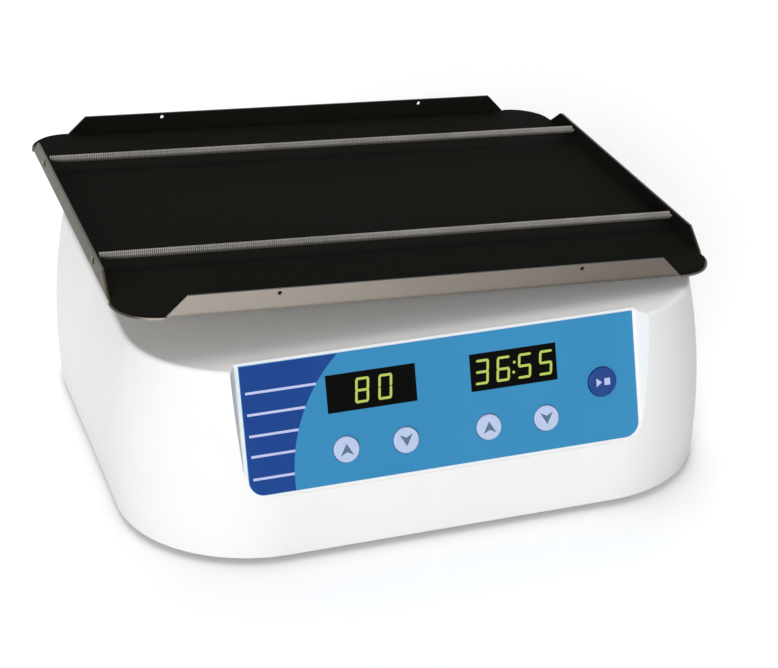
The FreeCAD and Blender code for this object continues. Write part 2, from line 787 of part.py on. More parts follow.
def arm_screws():
    level = shaft_height - arm_screw_drop
    length = arm_thickness + frame_sheet
    screws = []
    for sx in (-1, 1):
        x = sx * arm_screw_spread
        screws.append(tilted(screw(m4, (x, arm_back, level), (0, -1, 0), length)))
        screws.append(tilted(screw(m4, (x, frame_back - frame_sheet - arm_thickness, level), (0, 1, 0),
                                   length)))
    return screws


def rocker_bush(outer_face, way):
    """Flanged bush pressed through an ear and the plate on its inner side."""
    length = frame_sheet + arm_thickness
    tube = rod(bush_radius, (0, outer_face, shaft_height), (0, outer_face + way * length, shaft_height))
    flange = rod(bush_radius + 3.0, (0, outer_face - way * bush_flange, shaft_height),
                 (0, outer_face, shaft_height))
    bore = rod(shaft_radius + bush_running_gap, (0, outer_face - way * 5, shaft_height),
               (0, outer_face + way * (length + 1), shaft_height))
    return tilted(tube.fuse(flange).cut(bore))


def rocker_bushes():
    return [rocker_bush(frame_front, 1), rocker_bush(frame_back, -1)]


# ---- Shaft and stands
def stand_faces():
    """Near and far face of each stand, counted outwards from the rocker frame."""
    reach = bush_flange + stand_gap
    return [(frame_front - reach, -1), (frame_back + reach, 1)]


def rocker_shaft():
    reach = bush_flange + stand_gap + stand_thickness + 2.0
    shaft = rod(shaft_radius, (0, frame_front - reach, shaft_height), (0, frame_back + reach, shaft_height))
    rims = [e for e in shaft.Edges if e.BoundBox.YLength < 1e-6]
    return shaft.makeChamfer(0.8, rims)


def bearing_stand(face, way):
    """Upright plate with a wide foot, tapering to a round eye that holds the shaft."""
    half, hub = stand_foot_width / 2, stand_hub_radius
    foot = plate_top + stand_foot_height
    outline = [(-half, face, plate_top), (half, face, plate_top), (half, face, foot),
               (hub, face, shaft_height - hub),
               (hub, face, shaft_height), (-hub, face, shaft_height), (-hub, face, shaft_height - hub),
               (-half, face, foot)]
    body = prism(outline, (0, way * stand_thickness, 0))
    eye = rod(hub, (0, face, shaft_height), (0, face + way * stand_thickness, shaft_height))
    stand = joined([body, eye])
    holes = [rod(shaft_radius, (0, face - way, shaft_height),
                 (0, face + way * (stand_thickness + 1), shaft_height))]
    middle = face + way * stand_thickness / 2
    holes += [screw_hole(m5, (x, middle, plate_top - 1), (0, 0, 1), stand_foot_height)
              for x in (-stand_screw_x(), stand_screw_x())]
    holes.append(rod(m4[0] + screw_gap, (0, middle, shaft_height), (0, middle, shaft_height + hub + 1)))
    window_low, window_high = foot + 4, shaft_height - hub - 10
    inner = half * 0.36
    holes.append(prism([(-inner, face - way, window_low), (inner, face - way, window_low),
                        (inner * 0.45, face - way, window_high), (-inner * 0.45, face - way, window_high)],
                       (0, way * (stand_thickness + 2), 0)))
    return stand.cut(holes)


def stand_screw_x():
    return stand_foot_width / 2 - 8.0


def stand_screw_places():
    return [(sx * stand_screw_x(), face + way * stand_thickness / 2) for face, way in stand_faces()
            for sx in (-1, 1)]


def stand_screws():
    return [screw(m5, (x, y, plate_height), (0, 0, 1), plate_thickness + stand_foot_height - 3)
            for x, y in stand_screw_places()]


def shaft_grub_screws():
    grubs = []
    for face, way in stand_faces():
        middle = face + way * stand_thickness / 2
        top = shaft_height + stand_hub_radius - 1
        grub = rod(m4[0], (0, middle, shaft_height + shaft_radius), (0, middle, top))
        grubs.append(grub.cut(box((-0.4, middle - 3, top - 1.2), (0.4, middle + 3, top + 1))))
    return grubs


# ---- Crank drive
def turned(shape):
    """Turn a crank piece from bottom dead centre to the angle that the tilt at rest needs."""
    return shape.rotated(Vector(0, 0, motor_height), Vector(0, 1, 0), rest_turn)


def output_shaft():
    start = bracket_face - drive_gap - hub_length + 3.5
    shaft = rod(output_radius, (0, start, motor_height), (0, bracket_face + bracket_sheet, motor_height))
    flat = box((output_radius - 0.8, start - 1, motor_height - 6),
               (output_radius + 1, bracket_face - drive_gap, motor_height + 6))
    return turned(shaft.cut(flat))


def eccentric_hub():
    """Hub on the gearbox shaft with an off-centre journal that carries the roller."""
    back = bracket_face - drive_gap
    front = back - hub_length
    hub = rod(hub_radius, (0, front, motor_height), (0, back, motor_height))
    hub = hub.makeChamfer(0.6, [e for e in hub.Edges if e.BoundBox.YLength < 1e-6])
    pin_z = motor_height - crank_throw
    journal = rod(journal_radius, (0, arm_front - 0.5, pin_z), (0, front + 1, pin_z))
    collar = rod(journal_radius + 1.6, (0, arm_back + 0.2, pin_z), (0, front + 1, pin_z))
    bore = rod(output_radius, (0, front + 3.5, motor_height), (0, back + 1, motor_height))
    key_flat = box((output_radius - 0.8, front + 3, motor_height - 6),
                   (output_radius + 1, back + 1, motor_height + 6))
    thread = rod(m3[0] + screw_gap, (0, arm_front - 1, pin_z), (0, arm_front + 5, pin_z))
    grub = rod(m3[0] + screw_gap, (output_radius - 1.5, back - 3.2, motor_height),
               (hub_radius + 1, back - 3.2, motor_height))
    return turned(joined([hub, journal, collar]).cut([bore.cut(key_flat), thread, grub]))


def hub_grub_screw():
    y = bracket_face - drive_gap - 3.2
    grub = rod(m3[0], (output_radius - 0.8, y, motor_height), (hub_radius - 0.8, y, motor_height))
    return turned(grub.cut(box((hub_radius - 2, y - 0.3, motor_height - 2),
                               (hub_radius, y + 0.3, motor_height + 2))))


def crank_roller():
    pin_z = motor_height - crank_throw
    roller = rod(roller_radius, (0, arm_front, pin_z), (0, arm_back, pin_z))
    roller = roller.makeChamfer(0.5, [e for e in roller.Edges if e.BoundBox.YLength < 1e-6])
    bore = rod(journal_radius + roller_running_gap, (0, arm_front - 1, pin_z), (0, arm_back + 1, pin_z))
    return turned(roller.cut(bore))


def roller_screw():
    """Screw and washer that keep the roller on its journal."""
    pin_z = motor_height - crank_throw
    face = arm_front - 0.5
    washer = rod(journal_radius + 2.0, (0, face - 0.8, pin_z), (0, face, pin_z))
    washer = washer.cut(rod(m3[0] + screw_gap, (0, face - 2, pin_z), (0, face + 1, pin_z)))
    return [turned(washer), turned(screw(m3, (0, face - 0.8, pin_z), (0, 1, 0), 5.5))]


def gearbox():
    back = bracket_face + bracket_sheet
    case = rod(gearbox_radius, (0, back, motor_height), (0, back + gearbox_length, motor_height))
    rims = [e for e in case.Edges if e.BoundBox.YLength < 1e-6]
    case = case.makeChamfer(1.0, rims)
    groove = rod(gearbox_radius + 1, (0, back + 9, motor_height), (0, back + 10.2, motor_height))
    groove = groove.cut(rod(gearbox_radius - 0.6, (0, back + 8, motor_height),
                            (0, back + 11, motor_height)))
    holes = [rod(m3[0] + screw_gap, (x, back - 1, z), (x, back + face_screw_grip + 1, z))
             for x, z in gearbox_screw_places()]
    return case.cut([groove] + holes)


def gearbox_screw_places():
    places = []
    for step in range(4):
        angle = math.radians(45 + 90 * step)
        places.append((gearbox_screw_circle * math.cos(angle),
                       motor_height + gearbox_screw_circle * math.sin(angle)))
    return places


def motor():
    start = bracket_face + bracket_sheet + gearbox_length
    can = rod(motor_radius, (0, start, motor_height), (0, start + motor_length, motor_height))
    rims = [e for e in can.Edges if e.BoundBox.YLength < 1e-6 and e.BoundBox.YMin > start + 1]
    can = can.makeChamfer(1.5, rims)
    boss = rod(6.0, (0, start + motor_length - 1, motor_height),
               (0, start + motor_length + 3, motor_height))
    tabs = [box((sx * 9 - 2, start + motor_length - 1, motor_height - 0.4),
                (sx * 9 + 2, start + motor_length + 6, motor_height + 0.4))
            for sx in (-1, 1)]
    return joined([can, boss] + tabs)


def motor_bracket():
    """Folded bracket: an upright face for the gearbox and a foot on the base plate."""
    half = bracket_width / 2
    face_top = motor_height + gearbox_radius + 4
    upright = box((-half, bracket_face, plate_top), (half, bracket_face + bracket_sheet, face_top))
    top = [e for e in upright.Edges if abs(e.Vertexes[0].Y - e.Vertexes[1].Y) > 1 and e.Vertexes[0].Z > motor_height]
    upright = upright.makeFillet(8.0, top)
    foot = box((-half, bracket_face, plate_top), (half, bracket_face + bracket_foot,
                                                  plate_top + bracket_sheet))
    ribs = []
    for sx in (-1, 1):
        x = sx * (half - bracket_sheet / 2)
        ribs.append(prism([(x - bracket_sheet / 2, bracket_face + 1, plate_top + 1),
                           (x - bracket_sheet / 2, bracket_face + bracket_foot, plate_top + 1),
                           (x - bracket_sheet / 2, bracket_face + bracket_foot, plate_top + bracket_sheet),
                           (x - bracket_sheet / 2, bracket_face + 1, motor_height)], (bracket_sheet, 0, 0)))
    bracket = joined([upright, foot] + ribs)
    holes = [rod(output_radius + 2.5, (0, bracket_face - 1, motor_height),
                 (0, bracket_face + bracket_sheet + 1, motor_height))]
    holes += [rod(m3[0] + screw_gap, (x, bracket_face - 1, z), (x, bracket_face + bracket_sheet + 1, z))
              for x, z in gearbox_screw_places()]
    holes += [screw_hole(m4, (x, y, plate_top - 1), (0, 0, 1), bracket_sheet + 2)
              for x, y in bracket_screw_places()]
    return bracket.cut(holes)


def bracket_screw_places():
    x = bracket_width / 2 - bracket_sheet - bracket_screw_edge
    return [(sx * x, bracket_face + y) for sx in (-1, 1)
            for y in (bracket_screw_reach, bracket_foot - bracket_screw_edge)]


def bracket_screws():
    return [screw(m4, (x, y, plate_height), (0, 0, 1), plate_thickness + bracket_sheet)
            for x, y in bracket_screw_places()]


def gearbox_screws():
    return [screw(m3, (x, bracket_face, z), (0, 1, 0), bracket_sheet + face_screw_grip)
            for x, z in gearbox_screw_places()]


# ---- Power entry and power board
def power_inlet():
    """Three-pole appliance inlet: flanged body with a deep socket."""
    x, z, face = entry_centre_x + inlet_place, entry_centre_z, entry_face()
    body = box((x - inlet_width / 2, face - inlet_depth, z - inlet_height / 2),
               (x + inlet_width / 2, face, z + inlet_height / 2))
    flange = box((x - inlet_flange_width / 2, face, z - inlet_height / 2 - 2),
                 (x + inlet_flange_width / 2, face + inlet_flange, z + inlet_height / 2 + 2))
    flange = flange.makeFillet(6.0, [e for e in flange.Edges if abs(e.Vertexes[0].Y - e.Vertexes[1].Y) > 1])
    mouth = face + inlet_flange
    hx, hz = socket_width / 2, socket_height / 2
    cut_corner = 4.5
    socket = prism([(x - hx, mouth + 1, z - hz), (x + hx, mouth + 1, z - hz),
                    (x + hx, mouth + 1, z + hz - cut_corner),
                    (x + hx - cut_corner, mouth + 1, z + hz), (x - hx + cut_corner, mouth + 1, z + hz),
                    (x - hx, mouth + 1, z + hz - cut_corner)], (0, -socket_depth - 1, 0))
    holes = [rod(m3[0] + screw_gap, (x + sx * inlet_screw_pitch / 2, face - 1, z),
                 (x + sx * inlet_screw_pitch / 2, mouth + 1, z))
             for sx in (-1, 1)]
    return joined([body, flange]).cut([socket] + holes)


def inlet_blades():
    x, z = entry_centre_x + inlet_place, entry_centre_z
    root = entry_face() + inlet_flange - socket_depth
    blades = []
    for dx, dz in ((-blade_pitch / 2, -2.0), (blade_pitch / 2, -2.0), (0.0, 2.0)):
        blades.append(box((x + dx - 1, root, z + dz - 2), (x + dx + 1, root + 13.0, z + dz + 2)))
    return blades


def inlet_screws():
    x, face = entry_centre_x + inlet_place, entry_face() + inlet_flange
    return [screw(m3, (x + sx * inlet_screw_pitch / 2, face, entry_centre_z), (0, -1, 0),
                  inlet_flange + wall + 3) for sx in (-1, 1)]


def switch_axis():
    """Point on the power switch's rocking axis, which runs along X."""
    return Vector(entry_centre_x + rocker_switch_place, entry_face() - 1.0, entry_centre_z)


def power_switch_frame():
    axis, face = switch_axis(), entry_face()
    hx, hz, rim = rocker_switch_width / 2, rocker_switch_height / 2, rocker_switch_rim
    body = box((axis.x - hx, face - 16, axis.z - hz), (axis.x + hx, face, axis.z + hz))
    bezel = box((axis.x - hx - rim, face, axis.z - hz - rim),
                (axis.x + hx + rim, face + rim, axis.z + hz + rim))
    bezel = bezel.makeFillet(1.5, [e for e in bezel.Edges if abs(e.Vertexes[0].Y - e.Vertexes[1].Y) > 1])
    well = box((axis.x - hx + 1.5, face - 11, axis.z - hz + 1.5),
               (axis.x + hx - 1.5, face + rim + 1, axis.z + hz - 1.5))
    pin = rod(1.28, (axis.x - hx - 1, axis.y, axis.z), (axis.x + hx + 1, axis.y, axis.z))
    return joined([body, bezel]).cut([well, pin])


def power_switch_rocker():
    """See-saw button: two flats that meet in a shallow valley over the axis, with stub axles."""
    axis = switch_axis()
    half = rocker_switch_width / 2 - 1.9
    tall = rocker_switch_height / 2 - 2.6
    lean = math.tan(math.radians(rocker_tilt))
    crest = 4.6
    outline = [(0, -tall, -3.5), (0, tall, -3.5), (0, tall, crest + tall * lean), (0, 0, crest - 0.6),
               (0, -tall, crest + tall * lean)]
    points = [(axis.x - half, axis.y + c, axis.z + b) for _, b, c in outline]
    body = prism(points, (2 * half, 0, 0))
    rocker = body.fuse(rod(1.2, (axis.x - half - 1.4, axis.y, axis.z),
                           (axis.x + half + 1.4, axis.y, axis.z)))
    return rocker.rotated(axis, Vector(1, 0, 0), rocker_tilt)


def standoff_places():
    x, y = power_board_length / 2 - standoff_inset, power_board_width / 2 - standoff_inset
    return [(power_board_x + dy, power_board_y + dx) for dx, dy in mirror_places(x, y)]


def board_standoffs():
    posts = []
    for x, y in standoff_places():
        post = rod(3.0, (x, y, plate_top), (x, y, plate_top + standoff_height))
        posts.append(post.cut(screw_hole(m3, (x, y, plate_top - 1), (0, 0, 1), standoff_height + 2)))
    return posts


def power_board():
    low = plate_top + standoff_height
    hx, hy = power_board_width / 2, power_board_length / 2
    board = box((power_board_x - hx, power_board_y - hy, low),
                (power_board_x + hx, power_board_y + hy, low + board_thickness))
    return board.cut([screw_hole(m3, (x, y, low - 1), (0, 0, 1), board_thickness + 2)
                      for x, y in standoff_places()])


def power_board_screws():
    top = plate_top + standoff_height + board_thickness
    upper = [screw(m3, (x, y, top), (0, 0, -1), board_thickness + board_screw_grip)
             for x, y in standoff_places()]
    lower = [screw(m3, (x, y, plate_height), (0, 0, 1), plate_thickness + board_screw_grip)
             for x, y in standoff_places()]
    return upper + lower


def transformer():
    """Laminated core with a wound bobbin through its two windows."""
    low = plate_top + standoff_height + board_thickness
    x, y = power_board_x, power_board_y + core_place
    half, deep = core_length / 2, core_width / 2
    core = box((x - half, y - deep, low), (x + half, y + deep, low + core_height))
    window_low, window_high = low + core_limb, low + core_height - core_limb
    windows = [box((x + near, y - deep - 1, window_low), (x + far, y + deep + 1, window_high))
               for near, far in ((-half + core_limb, -core_limb), (core_limb, half - core_limb))]
    reach = half - core_limb - 1
    bobbin = box((x - reach, y - bobbin_width / 2, window_low + 0.5),
                 (x + reach, y + bobbin_width / 2, window_high - 0.5))
    bobbin = bobbin.makeFillet(2.0, [e for e in bobbin.Edges if abs(e.Vertexes[0].Z - e.Vertexes[1].Z) > 1])
    return joined([core.cut(windows), bobbin])


def board_parts():
    """Smoothing capacitor and the finned heat sink of the motor driver."""
    low = plate_top + standoff_height + board_thickness
    x, y = power_board_x + capacitor_place[0], power_board_y + capacitor_place[1]
    can = rod(capacitor_radius, (x, y, low), (x, y, low + capacitor_height))
    can = can.makeChamfer(1.2, [e for e in can.Edges if e.BoundBox.ZLength < 1e-6])
    left, front = power_board_x - sink_length / 2, power_board_y + sink_place
    high = low + sink_height
    pieces = [box((left, front, low), (left + sink_length, front + 3, high))]
    for step in range(int((sink_length - fin_thickness) / fin_pitch) + 1):
        start = left + step * fin_pitch
        pieces.append(box((start, front + 2, low), (start + fin_thickness, front + fin_depth, high)))
    return [can, joined(pieces)]


def save(name, shape):
    solids = shape if isinstance(shape, list) else [shape]
    result = solids[0] if len(solids) == 1 else Part.makeCompound(solids)
    result.exportStep("parts/" + name + ".step")


def main():
    os.makedirs("parts", exist_ok=True)
    pieces = {
        "housing_shell": housing_shell(), "base_plate": base_plate(), "base_screws": base_screws(),
        "rubber_feet": rubber_feet(), "foot_screws": foot_screws(), "foot_nuts": foot_nuts(),
        "control_label": control_label(), "control_board": control_board(), "board_screws": board_screws(),
        "key_switches": key_switches(), "platform_tray": platform_tray(), "tray_liner": tray_liner(),
        "front_spring": retaining_spring(-spring_spread), "rear_spring": retaining_spring(spring_spread),
        "tray_studs": tray_studs(), "tray_nuts": tray_nuts(), "rocker_frame": rocker_frame(),
        "drive_lever": drive_lever(), "rear_hub_plate": rear_hub_plate(), "arm_screws": arm_screws(),
        "rocker_bushes": rocker_bushes(), "rocker_shaft": rocker_shaft(), "stand_screws": stand_screws(),
        "shaft_grub_screws": shaft_grub_screws(), "output_shaft": output_shaft(),
              "eccentric_hub": eccentric_hub(),
        "hub_grub_screw": hub_grub_screw(), "crank_roller": crank_roller(), "roller_screw": roller_screw(),
        "gearbox": gearbox(), "motor": motor(), "motor_bracket": motor_bracket(),
              "bracket_screws": bracket_screws(),
        "gearbox_screws": gearbox_screws(), "power_inlet": power_inlet(), "inlet_blades": inlet_blades(),
        "inlet_screws": inlet_screws(), "power_switch_frame": power_switch_frame(),
        "power_switch_rocker": power_switch_rocker(), "board_standoffs": board_standoffs(),
        "power_board": power_board(), "power_board_screws": power_board_screws(),
              "transformer": transformer(),
        "board_parts": board_parts(),
    }
    for side, x in window_places():
        pieces[side + "_window"] = display_window(x)
        pieces[side + "_display"] = display_module(x)
    for name, x, y, radius in key_places():
        pieces[name] = key(x, y, radius)
    for (face, way), side in zip(stand_faces(), ("front", "rear")):
        pieces[side + "_stand"] = bearing_stand(face, way)
    for name, shape in pieces.items():
        save(name, shape)
    print("tilt at rest", round(rest_tilt, 3), "crank at rest", round(rest_turn, 3), "throw",
          round(crank_throw, 3))
    print("shaft height", shaft_height, "motor height", motor_height, "tray underside",
          round(tray_floor(), 3))


main()
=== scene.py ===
import json
import math
import bpy
import bmesh
from mathutils import Matrix, Vector


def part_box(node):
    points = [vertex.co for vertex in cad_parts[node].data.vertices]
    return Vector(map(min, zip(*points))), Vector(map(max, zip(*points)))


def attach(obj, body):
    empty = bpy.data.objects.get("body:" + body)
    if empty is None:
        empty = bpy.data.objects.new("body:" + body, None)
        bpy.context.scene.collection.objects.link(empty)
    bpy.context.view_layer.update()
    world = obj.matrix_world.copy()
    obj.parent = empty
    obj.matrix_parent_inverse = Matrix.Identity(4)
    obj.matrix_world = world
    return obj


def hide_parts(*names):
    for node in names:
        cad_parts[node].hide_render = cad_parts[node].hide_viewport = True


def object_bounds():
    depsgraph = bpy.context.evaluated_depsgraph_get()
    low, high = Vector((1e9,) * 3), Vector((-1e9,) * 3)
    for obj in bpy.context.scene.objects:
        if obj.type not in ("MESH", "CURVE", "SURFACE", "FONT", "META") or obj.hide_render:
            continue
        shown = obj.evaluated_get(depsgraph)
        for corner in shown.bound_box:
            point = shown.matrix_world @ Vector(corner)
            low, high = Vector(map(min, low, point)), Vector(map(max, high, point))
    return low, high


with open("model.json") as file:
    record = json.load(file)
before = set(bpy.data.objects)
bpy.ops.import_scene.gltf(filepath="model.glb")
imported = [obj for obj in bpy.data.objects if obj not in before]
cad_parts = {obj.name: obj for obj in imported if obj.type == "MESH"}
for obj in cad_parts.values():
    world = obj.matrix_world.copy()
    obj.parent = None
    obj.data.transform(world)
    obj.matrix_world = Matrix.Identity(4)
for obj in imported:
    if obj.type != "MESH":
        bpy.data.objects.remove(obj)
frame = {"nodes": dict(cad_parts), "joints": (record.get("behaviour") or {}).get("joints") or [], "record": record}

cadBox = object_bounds()
scene = bpy.context.scene
nodes = frame["nodes"]
mm = 0.001
mergeGap = 0.0001 * mm    # points closer than this become one


def linear(red, green, blue):
    # a screen colour, 0 to 255, as the linear values that shaders use
    def channel(c):
        c = c / 255
        return c / 12.92 if c <= 0.04045 else ((c + 0.055) / 1.055) ** 2.4
    return (channel(red), channel(green), channel(blue), 1.0)


def addObject(name, data):
    obj = bpy.data.objects.new(name, data)
    scene.collection.objects.link(obj)
    return obj


def finishMesh(name, bm, material):
    # doubled points are merged and faces turned outwards
    bmesh.ops.remove_doubles(bm, verts=bm.verts, dist=mergeGap)
    bmesh.ops.recalc_face_normals(bm, faces=bm.faces)
    mesh = bpy.data.meshes.new(name)
    bm.to_mesh(mesh)
    bm.free()
    mesh.materials.append(material)
    return addObject(name, mesh)


def addPrism(bm, outline, place, low, high):
    # closed slab: outline is a list of flat points, place(u, v, height) gives the point in space
    bottom = [bm.verts.new(place(u, v, low)) for u, v in outline]
    top = [bm.verts.new(place(u, v, high)) for u, v in outline]
    bm.faces.new(bottom[::-1])
    bm.faces.new(top)
    count = len(outline)
    for i in range(count):
        j = (i + 1) % count
        bm.faces.new((bottom[i], bottom[j], top[j], top[i]))


def arcPoints(u, v, radius, start, end, steps):
    angles = [math.radians(start + (end - start) * i / steps) for i in range(steps + 1)]
    return [(u + radius * math.cos(angle), v + radius * math.sin(angle)) for angle in angles]


def ringPoints(u, v, radius, count):
    # evenly spaced points all round a circle
    return arcPoints(u, v, radius, 0, 360 - 360 / count, count - 1)


def bakedCopy(source, name, place):
    # a curve, or a modifier's result, becomes a plain mesh that holds its own place
    bpy.context.view_layer.update()
    evaluated = source.evaluated_get(bpy.context.evaluated_depsgraph_get())
    mesh = bpy.data.meshes.new_from_object(evaluated)
    mesh.name = name
    mesh.transform(place)
    bpy.data.objects.remove(source)
    return addObject(name, mesh)


def addNode(tree, kind, values=None):
    # a new node, with some of its inputs set by name
    node = tree.nodes.new(kind)
    for label, value in (values or {}).items():
        node.inputs[label].default_value = value
    return node


# effects that the finishes share, each a node group with named inputs and one output
def newGroup(name, inputs, output):
    tree = bpy.data.node_groups.new(name, "ShaderNodeTree")
    for label, kind, value in inputs:
        socket = tree.interface.new_socket(name=label, in_out="INPUT", socket_type=kind)
        socket.default_value = value
    tree.interface.new_socket(name=output, in_out="OUTPUT", socket_type="NodeSocketFloat")
    return tree, addNode(tree, "NodeGroupInput"), addNode(tree, "NodeGroupOutput")


def makeGrainGroup():
    # fine relief: stretched noise for rolled metal, round noise for moulded plastic and rubber
    inputs = [("Scale", "NodeSocketFloat", 400.0), ("Stretch", "NodeSocketVector", (1.0, 1.0, 1.0))]
    tree, start, end = newGroup("surfaceGrain", inputs, "Height")
    place = addNode(tree, "ShaderNodeTexCoord")
    stretch = addNode(tree, "ShaderNodeVectorMath")
    stretch.operation = "MULTIPLY"
    noise = addNode(tree, "ShaderNodeTexNoise", {"Detail": 3.0})
    tree.links.new(place.outputs["Object"], stretch.inputs[0])
    tree.links.new(start.outputs["Stretch"], stretch.inputs[1])
    tree.links.new(stretch.outputs["Vector"], noise.inputs["Vector"])
    tree.links.new(start.outputs["Scale"], noise.inputs["Scale"])
    tree.links.new(noise.outputs["Fac"], end.inputs["Height"])
    return tree


def makeHandlingGroup():
    # broad uneven patches, as left by wiping and handling
    tree, start, end = newGroup("handlingMarks", [("Scale", "NodeSocketFloat", 14.0)], "Mask")
    place = addNode(tree, "ShaderNodeTexCoord")
    broad = addNode(tree, "ShaderNodeTexNoise", {"Detail": 4.0, "Roughness": 0.55, "Distortion": 0.4})
    spread = addNode(tree, "ShaderNodeMapRange", {"From Min": 0.3, "From Max": 0.7})
    tree.links.new(place.outputs["Object"], broad.inputs["Vector"])
    tree.links.new(start.outputs["Scale"], broad.inputs["Scale"])
    tree.links.new(broad.outputs["Fac"], spread.inputs["Value"])
    tree.links.new(spread.outputs["Result"], end.inputs["Mask"])
    return tree


grainGroup = makeGrainGroup()
handlingGroup = makeHandlingGroup()


def addColourMix(tree, share, colour):
    # input A turns into the given colour as the share goes from 0 to 1
    mix = addNode(tree, "ShaderNodeMix")
    mix.data_type = "RGBA"
    mix.inputs["B"].default_value = linear(*colour)
    tree.links.new(share, mix.inputs["Factor"])
    return mix


def coordinate(tree, kind, axis):
    place = addNode(tree, "ShaderNodeTexCoord")
    split = addNode(tree, "ShaderNodeSeparateXYZ")
    tree.links.new(place.outputs[kind], split.inputs["Vector"])
    return split.outputs[axis]


def sheetTonesWithPaintedShade(tree, tone, look):
    # folded sheet: painted shade darkens its tone along its length towards the right end, painted shade darkens
    # its end flanges, and its top edges are black
    along = coordinate(tree, "Object", "X")
    outwards = addNode(tree, "ShaderNodeMath")
    outwards.operation = "ABSOLUTE"
    tree.links.new(along, outwards.inputs[0])
    upwards = coordinate(tree, "Normal", "Z")
    changes = ((along, look["far"]), (outwards.outputs["Value"], look["end"]), (upwards, look["rim"]))
    for value, change in changes:
        first, last = change["span"]
        share = addNode(tree, "ShaderNodeMapRange", {"From Min": first, "From Max": last})
        tree.links.new(value, share.inputs["Value"])
        mix = addColourMix(tree, share.outputs["Result"], change["colour"])
        tree.links.new(tone, mix.inputs["A"])
        tone = mix.outputs["Result"]
    return tone


def addRelief(tree, look):
    # grain as small bumps, in its own scale and stretch
    grain = addNode(tree, "ShaderNodeGroup")
    grain.node_tree = grainGroup
    grain.inputs["Scale"].default_value = look["grainScale"]
    grain.inputs["Stretch"].default_value = look["stretch"]
    relief = addNode(tree, "ShaderNodeBump", {"Strength": look["relief"], "Distance": look["depth"]})
    tree.links.new(grain.outputs["Height"], relief.inputs["Height"])
    return relief.outputs["Normal"]


# a finish has these values unless it names its own
usualLook = dict(markScale=14.0, grainScale=500.0, stretch=(1.0, 1.0, 1.0), depth=0.0002, metallic=0.0,
                 specular=0.5)


def makeFinish(name, ownLook):
    # two near colours and a roughness range, mixed by handling marks, with grain as relief
    look = {**usualLook, **ownLook}
    material = bpy.data.materials.new(name)
    material.use_nodes = True
    tree = material.node_tree
    shader = tree.nodes["Principled BSDF"]
    marks = addNode(tree, "ShaderNodeGroup")
    marks.node_tree = handlingGroup
    marks.inputs["Scale"].default_value = look["markScale"]
    mix = addColourMix(tree, marks.outputs["Mask"], look["markColour"])
    mix.inputs["A"].default_value = linear(*look["colour"])
    tone = mix.outputs["Result"]
    if "rim" in look:
        tone = sheetTonesWithPaintedShade(tree, tone, look)
    tree.links.new(tone, shader.inputs["Base Color"])
    smoothest, roughest = look["roughness"]
    rough = addNode(tree, "ShaderNodeMapRange", {"To Min": smoothest, "To Max": roughest})
    tree.links.new(marks.outputs["Mask"], rough.inputs["Value"])
    tree.links.new(rough.outputs["Result"], shader.inputs["Roughness"])
    if "relief" in look:
        tree.links.new(addRelief(tree, look), shader.inputs["Normal"])
    shader.inputs["Metallic"].default_value = look["metallic"]
    shader.inputs["Specular IOR Level"].default_value = look["specular"]
    if "coat" in look:
        shader.inputs["Coat Weight"].default_value = look["coat"]
        shader.inputs["Coat Roughness"].default_value = look["coatRoughness"]
    if "glow" in look:
        shader.inputs["Emission Color"].default_value = linear(*look["glow"])
        shader.inputs["Emission Strength"].default_value = look["glowStrength"]
    return material


